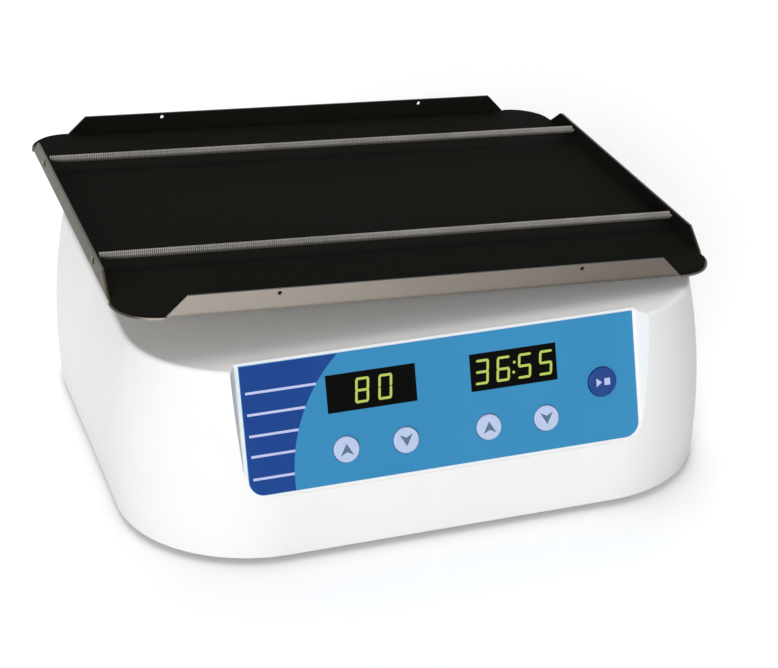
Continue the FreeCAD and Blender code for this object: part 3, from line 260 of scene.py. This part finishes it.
# the CAD pieces' finishes by the names of their materials, then the inks and the lit segments; the tray's
# spans are metres along it and away from its middle, and how far a face is turned up
finishes = {
    "shell_white": dict(colour=(247, 247, 245), markColour=(243, 244, 243), roughness=(0.36, 0.44),
                        relief=0.05, grainScale=900.0, specular=0.4),
    "plate_grey": dict(colour=(176, 178, 180), markColour=(160, 163, 166), roughness=(0.42, 0.55),
                       relief=0.12, grainScale=700.0),
    "foot_rubber": dict(colour=(30, 30, 31), markColour=(44, 44, 44), roughness=(0.72, 0.88), relief=0.3,
                        grainScale=800.0, specular=0.35),
    "screw_steel": dict(colour=(176, 177, 180), markColour=(150, 152, 156), roughness=(0.28, 0.42),
                        metallic=1.0, relief=0.08, grainScale=1500.0),
    "label_blue": dict(colour=(49, 136, 185), markColour=(54, 141, 190), roughness=(0.42, 0.48),
                       relief=0.03, grainScale=1600.0, markScale=9.0, specular=0.25),
    "window_smoke": dict(colour=(7, 8, 6), markColour=(10, 11, 9), roughness=(0.24, 0.3), specular=0.03),
    "display_black": dict(colour=(22, 24, 24), markColour=(30, 31, 31), roughness=(0.5, 0.6), relief=0.1),
    "board_green": dict(colour=(24, 92, 52), markColour=(30, 104, 60), roughness=(0.35, 0.45), relief=0.1,
                        grainScale=300.0, coat=0.3, coatRoughness=0.1),
    "part_black": dict(colour=(26, 26, 28), markColour=(34, 34, 36), roughness=(0.38, 0.5), relief=0.12,
                       grainScale=900.0),
    "key_lilac": dict(colour=(186, 201, 232), markColour=(192, 206, 236), roughness=(0.34, 0.42),
                      relief=0.04, markScale=60.0, specular=0.35),
    "key_navy": dict(colour=(18, 60, 130), markColour=(24, 66, 138), roughness=(0.34, 0.42), relief=0.04,
                     markScale=60.0, specular=0.3),
    "tray_steel": dict(colour=(173, 165, 156), markColour=(163, 155, 146), roughness=(0.40, 0.52),
                       metallic=0.55, relief=0.10, grainScale=220.0, stretch=(0.12, 6.0, 6.0),
                       markScale=7.0, specular=0.2,
                       # painted shade: the sheet's tone darkens from its left end to its right end
                       far=dict(colour=(98, 90, 82), span=(-0.14, 0.17)),
                       # painted shade: the end flanges and the sheet's slanted ends are darker
                       end=dict(colour=(72, 64, 50), span=(0.148, 0.156)),
                       rim=dict(colour=(20, 19, 17), span=(0.86, 0.96))),
    "liner_black": dict(colour=(20, 20, 17), markColour=(24, 24, 21), roughness=(0.78, 0.9), relief=0.35,
                        grainScale=650.0, depth=0.0003, specular=0.008, markScale=10.0),
    "spring_grey": dict(colour=(144, 140, 135), markColour=(126, 122, 117), roughness=(0.4, 0.5),
                        metallic=0.5, relief=0.05, grainScale=1500.0, markScale=40.0),
    "frame_grey": dict(colour=(122, 125, 130), markColour=(108, 111, 116), roughness=(0.45, 0.58),
                       relief=0.2),
    "stand_alloy": dict(colour=(190, 192, 195), markColour=(172, 174, 178), roughness=(0.35, 0.48),
                        metallic=1.0, relief=0.15, grainScale=200.0, stretch=(6.0, 6.0, 0.4)),
    "bush_bronze": dict(colour=(186, 140, 84), markColour=(160, 118, 70), roughness=(0.35, 0.5),
                        metallic=1.0, relief=0.1),
    "shaft_bright": dict(colour=(200, 202, 206), markColour=(186, 188, 194), roughness=(0.15, 0.25),
                         metallic=1.0, relief=0.04),
    "roller_acetal": dict(colour=(226, 226, 219), markColour=(216, 216, 208), roughness=(0.4, 0.5),
                          relief=0.05),
    "motor_steel": dict(colour=(52, 53, 56), markColour=(62, 63, 66), roughness=(0.4, 0.55), relief=0.12),
    "gearbox_steel": dict(colour=(158, 159, 162), markColour=(140, 142, 146), roughness=(0.32, 0.45),
                          metallic=1.0, relief=0.1, grainScale=240.0, stretch=(6.0, 0.3, 6.0)),
    "blade_brass": dict(colour=(196, 160, 96), markColour=(178, 142, 84), roughness=(0.25, 0.35),
                        metallic=1.0, relief=0.05),
    "core_iron": dict(colour=(66, 58, 52), markColour=(82, 74, 66), roughness=(0.55, 0.7), relief=0.25,
                      grainScale=120.0, stretch=(0.1, 12.0, 0.1)),
    "sink_alloy": dict(colour=(140, 143, 148), markColour=(124, 127, 132), roughness=(0.4, 0.5),
                       metallic=1.0, relief=0.1),
    "navyInk": dict(colour=(12, 61, 136), markColour=(18, 67, 143), roughness=(0.42, 0.48), relief=0.02,
                    specular=0.22, markScale=20.0),
    "paleInk": dict(colour=(186, 194, 238), markColour=(196, 204, 242), roughness=(0.34, 0.4),
                    relief=0.02),
    "iconInk": dict(colour=(84, 112, 140), markColour=(76, 104, 134), roughness=(0.36, 0.42),
                    relief=0.02),
    "litSegment": dict(colour=(52, 60, 20), markColour=(60, 68, 26), roughness=(0.4, 0.5),
                       glow=(172, 192, 78), glowStrength=1.0),
}
materials = {name: makeFinish(name, look) for name, look in finishes.items()}
for node in nodes.values():
    for index, used in enumerate(node.data.materials):
        node.data.materials[index] = materials[used.name.split(".")[0]]
print("materials made:", len(materials))


# points on the leaning panel are given across from the label's middle, up from its foot and off its back,
# in millimetres
panel = dict(lean=15.6, film=0.8)
leanSin = math.sin(math.radians(panel["lean"]))
leanCos = math.cos(math.radians(panel["lean"]))
labelLow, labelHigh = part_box("control_label")
panelMiddle = (labelLow.x + labelHigh.x) / 2
panelFoot = labelLow.y + panel["film"] * mm * leanCos


def onPanel(u, v, height):
    return Vector((panelMiddle + u * mm,
                   panelFoot + (v * leanSin - height * leanCos) * mm,
                   labelLow.z + (v * leanCos + height * leanSin) * mm))


def panelPlace(node):
    # how far across and up the panel the middle of a node is
    low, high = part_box(node)
    middle = (low + high) / 2
    up = (middle.y - panelFoot) * leanSin + (middle.z - labelLow.z) * leanCos
    return (middle.x - panelMiddle) / mm, up / mm


# navy field at the left of the label, with a hollow curved edge
navyField = dict(left=-106.3, foot=0.25, top=67.2, corner=7.8, cornerSteps=10, curveMiddle=(1.3, 5.0),
                 curveRadius=84.0, curveSteps=40, proud=0.04)


def fieldEdge(v):
    u0, v0 = navyField["curveMiddle"]
    return u0 - math.sqrt(navyField["curveRadius"] ** 2 - (v - v0) ** 2)


def makeNavyField():
    left, foot, top, corner = (navyField[size] for size in ("left", "foot", "top", "corner"))
    steps = navyField["curveSteps"]
    heights = [foot + (top - foot) * i / steps for i in range(steps + 1)]
    outline = [(fieldEdge(v), v) for v in heights] + [(left, top)]
    outline += arcPoints(left + corner, foot + corner, corner, 180, 270, navyField["cornerSteps"])
    bm = bmesh.new()
    addPrism(bm, outline, onPanel, panel["film"], panel["film"] + navyField["proud"])
    field = finishMesh("navyField", bm, materials["navyInk"])
    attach(field, "housing")


# pale rules across the field, from its left to its curved edge
paleRules = dict(levels=(53.3, 42.2, 31.2, 20.6, 8.9), start=-104.2, thick=1.3, gap=0.12, slant=0.2,
                 proud=0.04)


def makePaleRules():
    low = panel["film"] + navyField["proud"]
    half = paleRules["thick"] / 2
    start = paleRules["start"]
    bm = bmesh.new()
    for v in paleRules["levels"]:
        end = fieldEdge(v) - paleRules["gap"]
        topEnd = end + paleRules["slant"]
        outline = [(start, v - half), (end, v - half), (topEnd, v + half), (start, v + half)]
        addPrism(bm, outline, onPanel, low, low + paleRules["proud"])
    rules = finishMesh("paleRules", bm, materials["paleInk"])
    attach(rules, "housing")


# lit figures on the windows, each at its place across from the window's middle; segments names the ones
# that each figure lights, by their usual letters
digits = dict(height=13.2, width=7.4, stroke=1.3, gap=0.2, slant=5.0, proud=0.06)
colon = dict(radius=0.75, reach=2.6, lean=0.14, points=24)
segments = {"0": "abcdef", "3": "abcdg", "5": "acdfg", "6": "acdefg", "8": "abcdefg"}
figures = {"speed_window": [(-5.0, "8"), (7.3, "0")],
           "time_window": [(-17.4, "3"), (-5.7, "6"), (6.1, "5"), (17.8, "5")]}


def makeDigits():
    tall, wide, stroke = digits["height"], digits["width"], digits["stroke"]
    half = stroke / 2
    side = wide / 2 - half
    upper = tall / 4 - half / 2
    # middle of each segment, and whether it stands upright
    middles = {"a": (0, tall / 2 - half, False), "g": (0, 0, False), "d": (0, half - tall / 2, False),
               "f": (-side, upper, True), "b": (side, upper, True),
               "e": (-side, -upper, True), "c": (side, -upper, True)}
    slant = math.tan(math.radians(digits["slant"]))
    low, high = panel["film"], panel["film"] + digits["proud"]
    bm = bmesh.new()
    for window, row in figures.items():
        windowU, windowV = panelPlace(window)
        for across, figure in row:
            for name in segments[figure]:
                du, dv, upright = middles[name]
                length = tall / 2 - stroke if upright else wide - stroke
                reach = length / 2 + half - digits["gap"]
                bar = [(-reach, 0), (-reach + half, -half), (reach - half, -half), (reach, 0),
                       (reach - half, half), (-reach + half, half)]
                if upright:
                    bar = [(-b, a) for a, b in bar]
                outline = [(windowU + across + du + a + (dv + b) * slant, windowV + dv + b) for a, b in bar]
                addPrism(bm, outline, onPanel, low, high)
        if window == "time_window":
            # the colon stands between the two middle figures
            between = (row[1][0] + row[2][0]) / 2
            for dv in (-colon["reach"], colon["reach"]):
                dot = ringPoints(windowU + between + dv * colon["lean"], windowV + dv, colon["radius"],
                                 colon["points"])
                addPrism(bm, dot, onPanel, low, high)
    lit = finishMesh("litSegments", bm, materials["litSegment"])
    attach(lit, "housing")


# arrowheads on the four pale keys, and a triangle with a square on the start key
keyFace = dict(height=2.0, sunk=0.05, proud=0.05)
arrow = dict(tall=6.3, wide=7.0, notch=1.8, level=17.3)
startSign = dict(triangle=(-3.6, -0.4), triangleTall=4.6, square=(0.9, 4.1), squareTall=3.68, level=32.0)


def makeKeySigns():
    low, high = keyFace["height"] - keyFace["sunk"], keyFace["height"] + keyFace["proud"]
    tall, wide = arrow["tall"] / 2, arrow["wide"] / 2
    for node in ("speed_up_key", "speed_down_key", "time_up_key", "time_down_key"):
        u, _ = panelPlace(node)
        way = 1 if "_up_" in node else -1
        head = [(0, tall), (-wide, -tall), (0, -tall + arrow["notch"]), (wide, -tall)]
        bm = bmesh.new()
        addPrism(bm, [(u + a, arrow["level"] + b * way) for a, b in head], onPanel, low, high)
        piece = finishMesh(node + "Arrow", bm, materials["iconInk"])
        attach(piece, node.replace("_key", "_button"))
    u, _ = panelPlace("start_key")
    v = startSign["level"]
    bm = bmesh.new()
    left, right = (u + across for across in startSign["triangle"])
    half = startSign["triangleTall"] / 2
    addPrism(bm, [(left, v - half), (right, v), (left, v + half)], onPanel, low, high)
    left, right = (u + across for across in startSign["square"])
    half = startSign["squareTall"] / 2
    square = [(left, v - half), (right, v - half), (right, v + half), (left, v + half)]
    addPrism(bm, square, onPanel, low, high)
    piece = finishMesh("startSign", bm, materials["paleInk"])
    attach(piece, "start_button")


makeNavyField()
makePaleRules()
makeDigits()
makeKeySigns()
print("panel dressed")


# the tray's own frame at the liner's face: x along the tray, y across it, z up from it
vessel = next(mount for mount in frame["record"]["mounts"] if mount["name"] == "vessel_face")
trayUp = Vector(vessel["axis"]).normalized()
trayAcross = Vector((0, 1, 0))
trayAlong = trayAcross.cross(trayUp).normalized()
trayTurn = Matrix((trayAlong, trayAcross, trayUp)).transposed().to_4x4()
trayMatrix = Matrix.Translation(Vector(vessel["pos_m"])) @ trayTurn


def trayPlace(node):
    # lowest and highest corner of a node in the tray's frame, in millimetres
    back = trayMatrix.inverted() @ nodes[node].matrix_world
    points = [back @ v.co / mm for v in nodes[node].data.vertices]
    return [Vector([pick(p[k] for p in points) for k in range(3)]) for pick in (min, max)]


def makeCoilTree():
    # close-wound coil along Z, with its sizes as inputs
    tree = bpy.data.node_groups.new("woundCoil", "GeometryNodeTree")
    tree.interface.new_socket(name="Geometry", in_out="INPUT", socket_type="NodeSocketGeometry")
    for label in ("Turns", "Length", "Coil Radius", "Wire Radius"):
        tree.interface.new_socket(name=label, in_out="INPUT", socket_type="NodeSocketFloat")
    tree.interface.new_socket(name="Material", in_out="INPUT", socket_type="NodeSocketMaterial")
    tree.interface.new_socket(name="Geometry", in_out="OUTPUT", socket_type="NodeSocketGeometry")
    start = addNode(tree, "NodeGroupInput")
    end = addNode(tree, "NodeGroupOutput")
    spiral = addNode(tree, "GeometryNodeCurveSpiral", {"Resolution": 12})
    profile = addNode(tree, "GeometryNodeCurvePrimitiveCircle", {"Resolution": 6})
    sweep = addNode(tree, "GeometryNodeCurveToMesh", {"Fill Caps": True})
    smooth = addNode(tree, "GeometryNodeSetShadeSmooth")
    realize = addNode(tree, "GeometryNodeRealizeInstances")
    paint = addNode(tree, "GeometryNodeSetMaterial")
    links = tree.links
    links.new(start.outputs["Turns"], spiral.inputs["Rotations"])
    links.new(start.outputs["Coil Radius"], spiral.inputs["Start Radius"])
    links.new(start.outputs["Coil Radius"], spiral.inputs["End Radius"])
    links.new(start.outputs["Length"], spiral.inputs["Height"])
    links.new(start.outputs["Wire Radius"], profile.inputs["Radius"])
    links.new(spiral.outputs["Curve"], sweep.inputs["Curve"])
    links.new(profile.outputs["Curve"], sweep.inputs["Profile Curve"])
    links.new(sweep.outputs["Mesh"], smooth.inputs["Geometry"])
    links.new(smooth.outputs["Geometry"], realize.inputs["Geometry"])
    links.new(realize.outputs["Geometry"], paint.inputs["Geometry"])
    links.new(start.outputs["Material"], paint.inputs["Material"])
    links.new(paint.outputs["Geometry"], end.inputs["Geometry"])
    return tree


def setInput(modifier, label, value):
    # an input is set by its socket's identifier, found by its name
    for item in modifier.node_group.interface.items_tree:
        if item.item_type == "SOCKET" and item.in_out == "INPUT" and item.name == label:
            modifier[item.identifier] = value


# a retaining spring: the wire's path from coil to hook is given along the tray and up from the coil's
# middle line, first from the coil's end, then from where the hook comes down behind the flange
spring = dict(coil=2.2, wire=0.5, pitch=1.04, hookLength=3.6,
              fromCoil=((-0.6, -1.7), (0.5, -0.7), (1.6, 0.0)),
              fromHook=((-0.9, 0.0), (-0.25, -0.1), (0.0, -0.8), (0.0, -4.0)))


def makeHookCurve(coilEnd, hookEnd, way):
    points = [(coilEnd + x, z) for x, z in spring["fromCoil"]]
    points += [(hookEnd + x, z) for x, z in spring["fromHook"]]
    data = bpy.data.curves.new("hookPath", "CURVE")
    data.dimensions = "3D"
    data.bevel_depth = spring["wire"] * mm
    data.bevel_resolution = 3
    data.use_fill_caps = True
    line = data.splines.new("NURBS")
    line.points.add(len(points) - 1)
    for point, (x, z) in zip(line.points, points):
        point.co = (way * x * mm, 0.0, z * mm, 1.0)
    line.order_u = 3
    line.use_endpoint_u = True
    return addObject("hookPath", data)


def windSpring(node, coilTree):
    low, high = trayPlace(node)
    wire, coilRadius = spring["wire"], spring["coil"]
    middleLine = Matrix.Translation((0, (low.y + high.y) / 2 * mm, (high.z - coilRadius) * mm))
    coilEnd = high.x - spring["hookLength"]
    length = 2 * (coilEnd - wire)
    start = addObject(node + "Start", bpy.data.meshes.new(node + "Start"))
    modifier = start.modifiers.new("coil", "NODES")
    modifier.node_group = coilTree
    setInput(modifier, "Turns", round(length / spring["pitch"]))
    setInput(modifier, "Length", length * mm)
    setInput(modifier, "Coil Radius", (coilRadius - wire) * mm)
    setInput(modifier, "Wire Radius", wire * mm)
    setInput(modifier, "Material", materials["spring_grey"])
    laidDown = Matrix.Translation((-length / 2 * mm, 0, 0)) @ Matrix.Rotation(math.radians(90), 4, "Y")
    pieces = [bakedCopy(start, node + "Coil", trayMatrix @ middleLine @ laidDown)]
    for way in (-1, 1):
        hookCurve = makeHookCurve(coilEnd, high.x - wire, way)
        pieces.append(bakedCopy(hookCurve, node + "Hook", trayMatrix @ middleLine))
    bm = bmesh.new()
    for piece in pieces:
        bm.from_mesh(piece.data)
        bpy.data.objects.remove(piece)
    bmesh.ops.recalc_face_normals(bm, faces=bm.faces)
    mesh = bpy.data.meshes.new(node + "Wound")
    bm.to_mesh(mesh)
    bm.free()
    mesh.materials.append(materials["spring_grey"])
    mesh.shade_smooth()
    wound = addObject(node + "Wound", mesh)
    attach(wound, "platform")
    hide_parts(node)


coilTree = makeCoilTree()
windSpring("front_spring", coilTree)
windSpring("rear_spring", coilTree)
print("springs wound")


# a bar and a ring on the power rocker: its halves rise from a valley over the hinge to its two ends,
# and it is tipped at rest
switchMarks = dict(bar=(0.7, 3.2), ring=(1.7, 1.1), ringPoints=24, reach=4.6, proud=0.05)
rockerShape = dict(valley=4.0, endRise=2.19, endReach=7.9, tilt=11.0)


def makeSwitchMarks():
    low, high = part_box("power_switch_rocker")
    tilting = next(joint for joint in frame["joints"] if joint["name"] == "power_switch_tilt")
    hinge = Vector(tilting["pos_m"])
    hinge.x = (low.x + high.x) / 2
    tipped = Matrix.Rotation(math.radians(rockerShape["tilt"]), 3, "X")
    slope = rockerShape["endRise"] / rockerShape["endReach"]

    def onHalf(way):
        # way is 1 for the upper half and -1 for the lower one
        def place(u, w, height):
            along = switchMarks["reach"] + w
            outwards = rockerShape["valley"] + along * slope + height
            return hinge + tipped @ Vector((u, outwards, way * along)) * mm
        return place

    bm = bmesh.new()
    proud = switchMarks["proud"]
    wide, tall = (size / 2 for size in switchMarks["bar"])
    addPrism(bm, [(-wide, -tall), (wide, -tall), (wide, tall), (-wide, tall)], onHalf(1), 0, proud)
    place = onHalf(-1)
    count = switchMarks["ringPoints"]
    rings = [[bm.verts.new(place(u, w, height)) for u, w in ringPoints(0, 0, radius, count)]
             for radius in switchMarks["ring"] for height in (0, proud)]
    for i in range(count):
        j = (i + 1) % count
        for one, other in ((1, 3), (0, 1), (2, 3), (0, 2)):
            bm.faces.new((rings[one][i], rings[one][j], rings[other][j], rings[other][i]))
    marks = finishMesh("switchMarks", bm, materials["paleInk"])
    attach(marks, "power_rocker")


makeSwitchMarks()
print("power switch marked")


# a pale floor and world that are seen as white, directly and in reflections, and light the object plainly
studio = dict(floorSize=6.0, floorColour=(214, 214, 214), floorRoughness=0.9, floorSpecular=0.1,
              floorSeen=1.25, worldColour=(0.98, 0.985, 1.0), ambient=0.3)


def splitByRay(tree, seen, lighting, output):
    # one shader for camera, mirror and glass rays, and the other for the rays that light surfaces
    path = addNode(tree, "ShaderNodeLightPath")
    found = path.outputs["Is Camera Ray"]
    for kind in ("Is Glossy Ray", "Is Transmission Ray"):
        either = addNode(tree, "ShaderNodeMath")
        either.operation = "MAXIMUM"
        tree.links.new(found, either.inputs[0])
        tree.links.new(path.outputs[kind], either.inputs[1])
        found = either.outputs["Value"]
    mix = addNode(tree, "ShaderNodeMixShader")
    tree.links.new(found, mix.inputs["Fac"])
    tree.links.new(lighting, mix.inputs[1])
    tree.links.new(seen, mix.inputs[2])
    tree.links.new(mix.outputs["Shader"], tree.nodes[output].inputs["Surface"])


def makeFloor():
    paper = bpy.data.materials.new("paperFloor")
    paper.use_nodes = True
    tree = paper.node_tree
    shader = tree.nodes["Principled BSDF"]
    shader.inputs["Base Color"].default_value = linear(*studio["floorColour"])
    shader.inputs["Roughness"].default_value = studio["floorRoughness"]
    shader.inputs["Specular IOR Level"].default_value = studio["floorSpecular"]
    bright = addNode(tree, "ShaderNodeBsdfDiffuse", {"Color": (studio["floorSeen"],) * 3 + (1.0,)})
    splitByRay(tree, bright.outputs["BSDF"], shader.outputs["BSDF"], "Material Output")
    half = studio["floorSize"] / 2
    corners = ((-half, -half), (half, -half), (half, half), (-half, half))
    bm = bmesh.new()
    bm.faces.new([bm.verts.new((x, y, cadBox[0].z)) for x, y in corners])
    finishMesh("paperFloor", bm, paper)


def makeWorld():
    world = bpy.data.worlds.new("studioWorld")
    scene.world = world
    world.use_nodes = True
    tree = world.node_tree
    ambient = tree.nodes["Background"]
    ambient.inputs["Color"].default_value = (*studio["worldColour"], 1.0)
    ambient.inputs["Strength"].default_value = studio["ambient"]
    seen = addNode(tree, "ShaderNodeBackground", {"Color": (1.0, 1.0, 1.0, 1.0)})
    splitByRay(tree, seen.outputs["Background"], ambient.outputs["Background"], "World Output")


# soft lamps far away: towards is where each stands as seen from the object, spread its width in degrees
lamps = {
    "keyLight": dict(towards=(-1.95, -3.2, 1.0), strength=2.1, spread=26.0),
    "topLight": dict(towards=(0.1, 0.95, 2.4), strength=1.1, spread=42.0),
    "rearLight": dict(towards=(0.9, 2.6, 1.3), strength=0.5, spread=40.0),
}


def addLamp(name, look):
    data = bpy.data.lights.new(name, "SUN")
    data.energy = look["strength"]
    data.angle = math.radians(look["spread"])
    lamp = addObject(name, data)
    lamp.location = look["towards"]
    lamp.rotation_euler = (-Vector(look["towards"])).to_track_quat("-Z", "Y").to_euler()


# the camera stands at the front left and looks down on the object: yaw is to the right, pitch downwards
view = dict(place=(-0.33759, -1.06109, 0.59168), yaw=18.3292, pitch=26.138, roll=0.2135, lens=99.55,
            sensor=36.0)


def addCamera():
    yaw, pitch, roll = (math.radians(view[turn]) for turn in ("yaw", "pitch", "roll"))
    ahead = Vector((math.sin(yaw) * math.cos(pitch), math.cos(yaw) * math.cos(pitch), -math.sin(pitch)))
    right = Vector((math.cos(yaw), -math.sin(yaw), 0))
    up = right.cross(ahead)
    rolledRight = right * math.cos(roll) + up * math.sin(roll)
    rolledUp = up * math.cos(roll) - right * math.sin(roll)
    data = bpy.data.cameras.new("camera")
    data.lens = view["lens"]
    data.sensor_width = view["sensor"]
    camera = addObject("camera", data)
    turn = Matrix((rolledRight, rolledUp, -ahead)).transposed().to_4x4()
    camera.matrix_world = Matrix.Translation(view["place"]) @ turn
    scene.camera = camera


makeFloor()
makeWorld()
for name, look in lamps.items():
    addLamp(name, look)
addCamera()
scene.view_settings.view_transform = "Standard"
print("stage, light and camera set")
